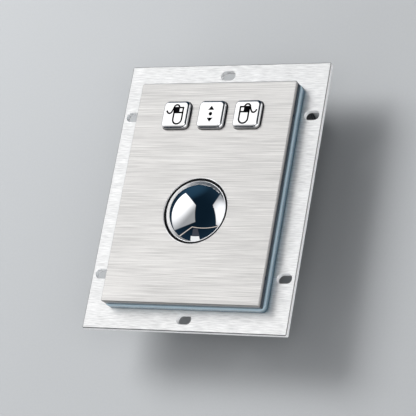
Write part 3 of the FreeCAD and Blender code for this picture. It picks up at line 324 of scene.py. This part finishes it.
def build_materials():
    """One material per slot of the record."""
    black = (0.018, 0.019, 0.021, 1)
    return {
        "flange_metal": brushed_metal(
            "brushed_aluminium", grey(0.72), grey(0.99), grain=(6.0, 0.42), roughness=0.40, depth_mm=0.010,
            # Painted light on the flange's edges: painted shade on its outer bevels and a painted highlight
            # on its outer walls.
            anisotropic=0.5, waviness=0.9, bevel_light_and_shade=(grey(0.90), grey(0.28)), wall_light_and_shade=(grey(0.86), grey(0.98)),
            wall_metallic=0.12, wall_roughness=0.6),
        "plate_steel": brushed_metal(
            "brushed_steel", grey(0.52, 0.02), grey(0.82, 0.02), grain=(26.0, 0.18), roughness=0.34,
            # Painted light on the plate's edges: a painted highlight on the bevels of its openings and
            # painted shade in their walls.
            depth_mm=0.004, anisotropic=0.7, waviness=0.0, bevel_light_and_shade=(grey(0.95), grey(0.60)),
            wall_light_and_shade=(grey(0.05), grey(0.42, 0.05)), wall_metallic=0.5, wall_roughness=0.4),
        # The gasket's two colours are painted shade at its base and a painted highlight at its top.
        "gasket_rubber": silicone("blue_grey_silicone", (0.10, 0.19, 0.25, 1), (0.52, 0.68, 0.78, 1), 3.6),
        "frame_plastic": moulded("dark_frame", (0.016, 0.034, 0.056, 1), 0.16, 0.4, 0.002, 0.05, 1.0),
        "key_metal": polished_metal("satin_key_metal", (0.80, 0.80, 0.81, 1), 0.10, 0.07),
        "ball_steel": polished_metal("mirror_ball", (0.90, 0.91, 0.93, 1), 0.015, 0.012),
        "core_resin": moulded("resin", (0.35, 0.33, 0.30, 1)),
        "zinc_steel": satin_metal("zinc_plate", (0.62, 0.63, 0.66, 1), 0.30),
        "turned_steel": satin_metal("ground_steel", (0.58, 0.58, 0.60, 1), 0.22),
        "spring_steel": satin_metal("spring_wire", (0.42, 0.42, 0.44, 1), 0.30),
        "bush_bronze": satin_metal("sintered_bronze", (0.60, 0.40, 0.20, 1), 0.45, 0.15, 0.01),
        "guide_plastic": moulded("natural_acetal", (0.72, 0.71, 0.66, 1), 0.40),
        "wiper_plastic": moulded("wiper_black", (0.010, 0.011, 0.014, 1), 0.5),
        "seal_rubber": moulded("boot_rubber", (0.022, 0.022, 0.024, 1), 0.55, 0.25, 0.015),
        "housing_plastic": moulded("housing_black", black, 0.48, 0.45, 0.03, 0.3),
        "circuit_board": circuit_board("solder_mask"),
        "spacer_brass": satin_metal("turned_brass", (0.78, 0.58, 0.27, 1), 0.25),
        "switch_plastic": moulded("switch_black", black, 0.4),
        "package_black": moulded("package_black", (0.015, 0.015, 0.017, 1), 0.4, 0.12, 0.01),
        "component_metal": satin_metal("drawn_can", (0.66, 0.66, 0.68, 1), 0.28),
        "connector_nylon": moulded("nylon", (0.72, 0.69, 0.60, 1), 0.42),
        "wheel_plastic": moulded("wheel_black", (0.02, 0.02, 0.022, 1), 0.35),
        "wire_insulation": moulded("wire_red", (0.42, 0.04, 0.03, 1), 0.35, 0.3, 0.005),
        "cable_jacket": moulded("cable_jacket", (0.024, 0.024, 0.026, 1), 0.42, 0.5, 0.02, 0.15),
        "plug_metal": polished_metal("nickel", (0.72, 0.71, 0.69, 1), 0.16, 0.08),
        "tongue_plastic": moulded("tongue_white", (0.75, 0.75, 0.73, 1), 0.4),
        "tie_nylon": moulded("tie_black", (0.020, 0.020, 0.021, 1), 0.35, 0.3, 0.01),
    }


def finish_cad_nodes(materials):
    """Gives every CAD node the material of its slot."""
    for entry in RECORD["subparts"]:
        mesh = NODES[entry["node"]].data
        mesh.materials.clear()
        mesh.materials.append(materials[entry["material_slot"]])


# ---------------------------------------------------------------- key symbols

# Millimetres, in the key's own face
INK_HEIGHT = 0.03
INK_SUNK = -0.02
STROKE = 0.86
BODY_HALF = 2.42
BODY_TOP = 3.45
BODY_BEND = -2.85
BUTTON_LINE = 0.8
FILL_EDGE = 0.45
LOOP_CENTRE = (-1.3, BODY_TOP)
LOOP_R = 1.5
CORD = [(-2.8, BODY_TOP), (-3.35, 2.0), (-4.1, 0.75), (-5.0, 0.4), (-5.9, 0.85), (-6.6, 1.95)]
LEFT_BODY_X = 1.65
RIGHT_BODY_X = -1.3
ARROW_UP = [(-1.65, 2.0), (1.65, 2.0), (0, 4.2)]
ARROW_DOWN = [(-1.65, -2.2), (0, -4.35), (1.65, -2.2)]
DOT_CENTRE = (0, -0.05)
DOT_R = 0.95


def arc_points(centre, radius, start, end, steps=16):
    """Points along an arc, in degrees."""
    angles = [math.radians(start + (end - start) * i / steps) for i in range(steps + 1)]
    return [(centre[0] + radius * math.cos(a), centre[1] + radius * math.sin(a)) for a in angles]


def smooth_points(controls, steps=7):
    """A smooth curve through its control points."""
    ends = [controls[0]] + controls + [controls[-1]]
    points = []
    for a, b, c, d in zip(ends, ends[1:], ends[2:], ends[3:]):
        for i in range(steps):
            t = i / steps
            t2, t3 = t * t, t ** 3
            weights = (-t + 2 * t2 - t3, 2 - 5 * t2 + 3 * t3, t + 4 * t2 - 3 * t3, t3 - t2)
            points.append(tuple(0.5 * sum(w * p[k] for w, p in zip(weights, (a, b, c, d))) for k in (0, 1)))
    return points + [controls[-1]]


def add_plate(bm, outline):
    """A thin inked patch: the outline in mm, standing INK_HEIGHT over z = 0 and slightly sunk."""
    low = [bm.verts.new((x, y, INK_SUNK)) for x, y in outline]
    high = [bm.verts.new((x, y, INK_HEIGHT)) for x, y in outline]
    bm.faces.new(high)
    bm.faces.new(low[::-1])
    for i in range(len(outline)):
        j = (i + 1) % len(outline)
        bm.faces.new((low[i], low[j], high[j], high[i]))


def add_stroke(bm, points, width=STROKE):
    """A line of ink along points, with mitred corners."""
    count = len(points)
    left, right = [], []
    for i, point in enumerate(points):
        before = Vector(points[max(i - 1, 0)])
        after = Vector(points[min(i + 1, count - 1)])
        here = Vector(point)
        first = (here - before).normalized() if i else (after - here).normalized()
        second = (after - here).normalized() if i < count - 1 else first
        direction = (first + second).normalized()
        normal = Vector((-direction.y, direction.x))
        reach = 0.5 * width / max(0.5, direction.dot(first))
        left.append(tuple(here + normal * reach))
        right.append(tuple(here - normal * reach))
    rings = []
    for one, other in zip(left, right):
        section = ((*one, INK_HEIGHT), (*other, INK_HEIGHT), (*other, INK_SUNK), (*one, INK_SUNK))
        rings.append([bm.verts.new(corner) for corner in section])
    for a, b in zip(rings, rings[1:]):
        for k in range(4):
            bm.faces.new((a[k], a[(k + 1) % 4], b[(k + 1) % 4], b[k]))
    bm.faces.new(rings[0][::-1])
    bm.faces.new(rings[-1])


def mouse_symbol(bm, body_x, side):
    """A mouse outline with one filled button. side is 1 for the left button and -1 for the right one."""
    half, top, split = BODY_HALF, BODY_TOP, BUTTON_LINE

    def at(points):
        return [(side * x + body_x, y) for x, y in points]

    body = [(-half, top)] + arc_points((0, BODY_BEND), half, 180, 360) + [(half, top)]
    add_stroke(bm, at(body))
    add_stroke(bm, at([(-half - STROKE / 2, top), (half + STROKE / 2, top)]))
    add_stroke(bm, at([(-half, split), (half, split)]))
    fill = at([(-half, split), (FILL_EDGE, split), (FILL_EDGE, top), (-half, top)])
    add_plate(bm, fill if side > 0 else fill[::-1])
    add_stroke(bm, at(arc_points(LOOP_CENTRE, LOOP_R, 0, 180)))
    add_stroke(bm, at(smooth_points(CORD)))


def scroll_symbol(bm):
    """An up arrow, a dot and a down arrow."""
    add_plate(bm, ARROW_UP)
    add_plate(bm, arc_points(DOT_CENTRE, DOT_R, 0, 345, 23))
    add_plate(bm, ARROW_DOWN)


def key_symbol(name, material):
    """The ink on one key's face, riding on the key."""
    low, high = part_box("key_" + name)
    bm = bmesh.new()
    if name == "scroll":
        scroll_symbol(bm)
    elif name == "left":
        mouse_symbol(bm, LEFT_BODY_X, 1)
    else:
        mouse_symbol(bm, RIGHT_BODY_X, -1)
    bmesh.ops.recalc_face_normals(bm, faces=bm.faces)
    bm.transform(Matrix.Scale(MM, 4))
    piece = new_piece("symbol_" + name, bm, material)
    piece.location = ((low.x + high.x) / 2, (low.y + high.y) / 2, high.z)
    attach(piece, "key_" + name)
    return piece


def new_piece(name, bm, material):
    """A mesh object from a bmesh."""
    mesh = bpy.data.meshes.new(name)
    bm.to_mesh(mesh)
    bm.free()
    mesh.materials.append(material)
    piece = bpy.data.objects.new(name, mesh)
    bpy.context.scene.collection.objects.link(piece)
    return piece


# ---------------------------------------------------------------- springs

SPRING_WIRE_R = 0.3 * MM
KEY_SPRING_LENGTH = 2.9 * MM
KEY_SPRING_R = 3.5 * MM
KEY_SPRING_TURNS = 2.5
IDLER_SPRING_LENGTH = 3.5 * MM
IDLER_SPRING_R = 2.2 * MM
IDLER_SPRING_TURNS = 3
STEPS_PER_TURN = 28
WIRE_SIDES = 10


def coil(name, material, low, high, mean_r, turns):
    """A round-wire compression spring between two points."""
    wire_r = SPRING_WIRE_R
    rise = (high - low).length - 2 * wire_r
    steps = int(turns * STEPS_PER_TURN)
    sides = WIRE_SIDES
    bm = bmesh.new()
    rings = []
    for i in range(steps + 1):
        t = i / steps
        angle = 2 * math.pi * turns * t
        outward = Vector((math.cos(angle), math.sin(angle), 0))
        centre = outward * mean_r + Vector((0, 0, wire_r + rise * t))
        ring = []
        for k in range(sides):
            a = 2 * math.pi * k / sides
            off_wire = outward * wire_r * math.cos(a) + Vector((0, 0, wire_r * math.sin(a)))
            ring.append(bm.verts.new(centre + off_wire))
        rings.append(ring)
    for a, b in zip(rings, rings[1:]):
        for k in range(sides):
            bm.faces.new((a[k], a[(k + 1) % sides], b[(k + 1) % sides], b[k]))
    bm.faces.new(rings[0][::-1])
    bm.faces.new(rings[-1])
    bmesh.ops.recalc_face_normals(bm, faces=bm.faces)
    for face in bm.faces:
        face.smooth = len(face.verts) == 4
    turn = Vector((0, 0, 1)).rotation_difference(high - low).to_matrix().to_4x4()
    bm.transform(Matrix.Translation(low) @ turn)
    return new_piece(name, bm, material)


def key_springs(material):
    """The three return springs, built at full length on the base in place of the hidden CAD springs."""
    for name in KEYS:
        low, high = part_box("key_spring_" + name)
        x, y = (low.x + high.x) / 2, (low.y + high.y) / 2
        bottom = Vector((x, y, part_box("key_guide")[1].z))
        top = Vector((x, y, bottom.z + KEY_SPRING_LENGTH))
        piece = coil("return_spring_" + name, material, bottom, top, KEY_SPRING_R, KEY_SPRING_TURNS)
        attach(piece, "base")
        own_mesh(piece)
        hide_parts("key_spring_" + name)


def idler_spring(material):
    """The idler's spring, built at full length back from its fixed end on the base, in place of the hidden
    CAD spring.
    """
    joint = next(j for j in RECORD["behaviour"]["joints"] if j["name"] == "idler_slide")
    state = joint["deforming_nodes"][0]
    axis = Vector(state["axis"])
    anchor = Vector(state["fixed_end_m"])
    free_end = anchor - axis * IDLER_SPRING_LENGTH
    piece = coil("idler_return_spring", material, free_end, anchor, IDLER_SPRING_R, IDLER_SPRING_TURNS)
    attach(piece, "base")
    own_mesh(piece)
    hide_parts("idler_spring")


# ---------------------------------------------------------------- studio

# Soft boxes and edges of the room as (azimuth, elevation) corners in degrees
KEY_BOX = [(132, 16), (98, 73), (271, 59), (202, -2)]
KEY_BOX_BRIGHTEST = (142, 22)
SIDE_BOX = [(67, -6), (33, 38), (333, 17), (340, -20), (60, -25)]
SIDE_BOX_BRIGHTEST = (8, 8)
FRONT_WINDOW = [(250, 16), (273, 16), (269, -8), (244, -8)]
WINDOW_BLIND = [(260, 40), (277, 40), (275, 18), (254, 18)]
BEAMS = (((217, -3), (256, 44)), ((256, 44), (334, 9)))
BEAM_HALF_WIDTH = 0.022
GLOW = (118, 20)
BOX_WHITE = (1.0, 0.995, 0.985)

# Metres
FLOOR_RADIUS = 3.0
FLOOR_GAP = 0.0002

# The camera's lens, its place in metres, and the directions to its right and behind it
LENS_MM = 176.8
SENSOR_MM = 36.0
EYE = (0.45237, -0.32263, 0.83097)
EYE_RIGHT = (0.89207, 0.17002, -0.41868)
EYE_BACK = (0.45180, -0.31707, 0.83387)


def direction(azimuth, elevation):
    """A unit vector. Azimuth is anticlockwise from +X, elevation above the horizon, in degrees."""
    a, e = math.radians(azimuth), math.radians(elevation)
    return Vector((math.cos(a) * math.cos(e), math.sin(a) * math.cos(e), math.sin(e)))


def patch(s, ray, corners, softness=0.02):
    """1 inside a polygon on the sky and 0 outside, from its corners as (azimuth, elevation)."""
    points = [direction(*c) for c in corners]
    middle = sum(points, Vector()).normalized()
    inside = None
    for a, b in zip(points, points[1:] + points[:1]):
        wall = a.cross(b).normalized()
        if wall.dot(middle) < 0:
            wall = -wall
        side = s.ramp(s.vector("DOT_PRODUCT", ray, tuple(wall)), -softness, softness)
        inside = side if inside is None else s.math("MULTIPLY", inside, side)
    return s.math("MULTIPLY", inside, s.ramp(s.vector("DOT_PRODUCT", ray, tuple(middle)), -0.1, 0.0))


def strip(s, ray, start, end, width):
    """A thin bright line across the sky between two directions."""
    a, b = direction(*start), direction(*end)
    wall = a.cross(b).normalized()
    off = s.math("ABSOLUTE", s.vector("DOT_PRODUCT", ray, tuple(wall)))
    line = s.ramp(off, width, 0.5 * width)
    first = s.ramp(s.vector("DOT_PRODUCT", ray, tuple(wall.cross(a))), -0.01, 0.01)
    last = s.ramp(s.vector("DOT_PRODUCT", ray, tuple(b.cross(wall))), -0.01, 0.01)
    return s.math("MULTIPLY", line, s.math("MULTIPLY", first, last))


def nearness(s, ray, centre, far_cos, near_cos, far_value=0.0, near_value=1.0):
    """A value that rises as the ray comes near a direction."""
    cosine = s.vector("DOT_PRODUCT", ray, tuple(direction(*centre)))
    return s.ramp(cosine, far_cos, near_cos, far_value, near_value)


def add_light(s, total, mask, colour, strength):
    """Adds a coloured light to the running total."""
    scaled = s.vector("MULTIPLY", tuple(strength * c for c in colour), (1, 1, 1))
    masked = s.add("VectorMath", {0: scaled, 3: mask}, operation="SCALE").outputs[0]
    return s.vector("ADD", total, masked)


def studio_world():
    """Soft boxes in a dark room for reflections, and a pale backdrop for the camera."""
    world = bpy.data.worlds.new("studio")
    bpy.context.scene.world = world
    world.use_nodes = True
    s = Shader(world.node_tree)
    ray = s.add("TexCoord").outputs["Generated"]
    height = s.vector("DOT_PRODUCT", ray, (0, 0, 1))
    room = s.mix(s.ramp(height, -0.1, 0.9), (0.010, 0.026, 0.045, 1), (0.004, 0.012, 0.022, 1))
    total = s.vector("ADD", room, (0, 0, 0))
    total = add_light(s, total, nearness(s, ray, GLOW, 0.80, 1.0), (0.012, 0.035, 0.06), 1.0)
    key_falloff = nearness(s, ray, KEY_BOX_BRIGHTEST, 0.38, 0.92, 0.36, 1.50)
    total = add_light(s, total, s.math("MULTIPLY", patch(s, ray, KEY_BOX), key_falloff), BOX_WHITE, 1.0)
    side_falloff = nearness(s, ray, SIDE_BOX_BRIGHTEST, 0.70, 0.97, 0.35, 1.15)
    total = add_light(s, total, s.math("MULTIPLY", patch(s, ray, SIDE_BOX), side_falloff), BOX_WHITE, 1.0)
    total = add_light(s, total, patch(s, ray, FRONT_WINDOW, 0.01), (1.0, 0.99, 0.97), 0.95)
    total = add_light(s, total, patch(s, ray, WINDOW_BLIND, 0.02), (0.055, 0.05, 0.055), 1.0)
    for start, end in BEAMS:
        total = add_light(s, total, strip(s, ray, start, end, BEAM_HALF_WIDTH), (0.75, 0.66, 0.58), 1.0)
    lit = s.add("Background", {"Color": total, "Strength": 1.0}).outputs[0]
    backdrop = s.mix(s.ramp(height, -0.05, 0.5), (0.60, 0.61, 0.62, 1), (0.74, 0.76, 0.78, 1))
    seen = s.add("Background", {"Color": backdrop, "Strength": 1.0}).outputs[0]
    camera_ray = s.add("LightPath").outputs["Is Camera Ray"]
    s.add("OutputWorld", {"Surface": s.add("MixShader", {0: camera_ray, 1: lit, 2: seen}).outputs[0]})
    world.cycles.sampling_method = "MANUAL"
    world.cycles.sample_map_resolution = 1024


def soft_light(name, azimuth, elevation, distance, size, watts, glossy):
    """A square soft light aimed at the object. glossy says whether reflections show it."""
    light = bpy.data.lights.new(name, "AREA")
    light.shape = "SQUARE"
    light.size = size
    light.energy = watts
    lamp = bpy.data.objects.new(name, light)
    bpy.context.scene.collection.objects.link(lamp)
    towards = direction(azimuth, elevation)
    lamp.location = towards * distance
    lamp.rotation_mode = "QUATERNION"
    lamp.rotation_quaternion = towards.to_track_quat("Z", "Y")
    lamp.visible_glossy = glossy
    lamp.visible_camera = False
    return lamp


def studio_lights():
    """Lights for matt surfaces and the floor, and two that only the plate, the flange and the keys see.

    Those two keep the flat metal from going black when it's seen from the back or from straight above.
    """
    soft_light("key_light", 150, 48, distance=0.9, size=0.45, watts=9.0, glossy=False)
    soft_light("fill_light", 330, 55, distance=1.2, size=0.9, watts=5.0, glossy=False)
    soft_light("front_light", 250, 25, distance=1.3, size=0.8, watts=3.0, glossy=False)
    low = soft_light("low_light", 315, 20, distance=0.9, size=0.9, watts=3.2, glossy=True)
    top = soft_light("top_light", 0, 89, distance=1.0, size=0.45, watts=1.1, glossy=True)
    receivers = bpy.data.collections.new("brushed_faces")
    for node in BRUSHED_FACES:
        receivers.objects.link(NODES[node])
    for lamp in (low, top):
        lamp.light_linking.receiver_collection = receivers


def studio_floor():
    """The pale floor under the object's lowest point."""
    bm = bmesh.new()
    bmesh.ops.create_circle(bm, cap_ends=True, radius=FLOOR_RADIUS, segments=96)
    floor = new_piece("floor", bm, pale_floor("pale_floor"))
    floor.location.z = cad_box[0].z - FLOOR_GAP
    floor.visible_glossy = False


def camera():
    """A long lens from the right, above and in front, rolled so that the keys lean to the right."""
    data = bpy.data.cameras.new("camera")
    data.lens = LENS_MM
    data.sensor_width = SENSOR_MM
    data.clip_start = 0.05
    data.clip_end = 20.0
    eye = bpy.data.objects.new("camera", data)
    bpy.context.scene.collection.objects.link(eye)
    right = Vector(EYE_RIGHT).normalized()
    back = Vector(EYE_BACK)
    back = (back - right * back.dot(right)).normalized()
    up = back.cross(right)
    turn = Matrix((right, up, back)).transposed().to_4x4()
    eye.matrix_world = Matrix.Translation(EYE) @ turn
    bpy.context.scene.camera = eye


def colour_management():
    """Plain display colours, so that whites stay white."""
    settings = bpy.context.scene.view_settings
    settings.view_transform = "Standard"
    settings.look = "None"
    settings.exposure = 0.0
    settings.gamma = 1.0


# ---------------------------------------------------------------- build

materials = build_materials()
finish_cad_nodes(materials)
ink_material = ink("black_ink")
for key_name in KEYS:
    key_symbol(key_name, ink_material)
key_springs(materials["spring_steel"])
idler_spring(materials["spring_steel"])
studio_world()
studio_lights()
studio_floor()
camera()
colour_management()
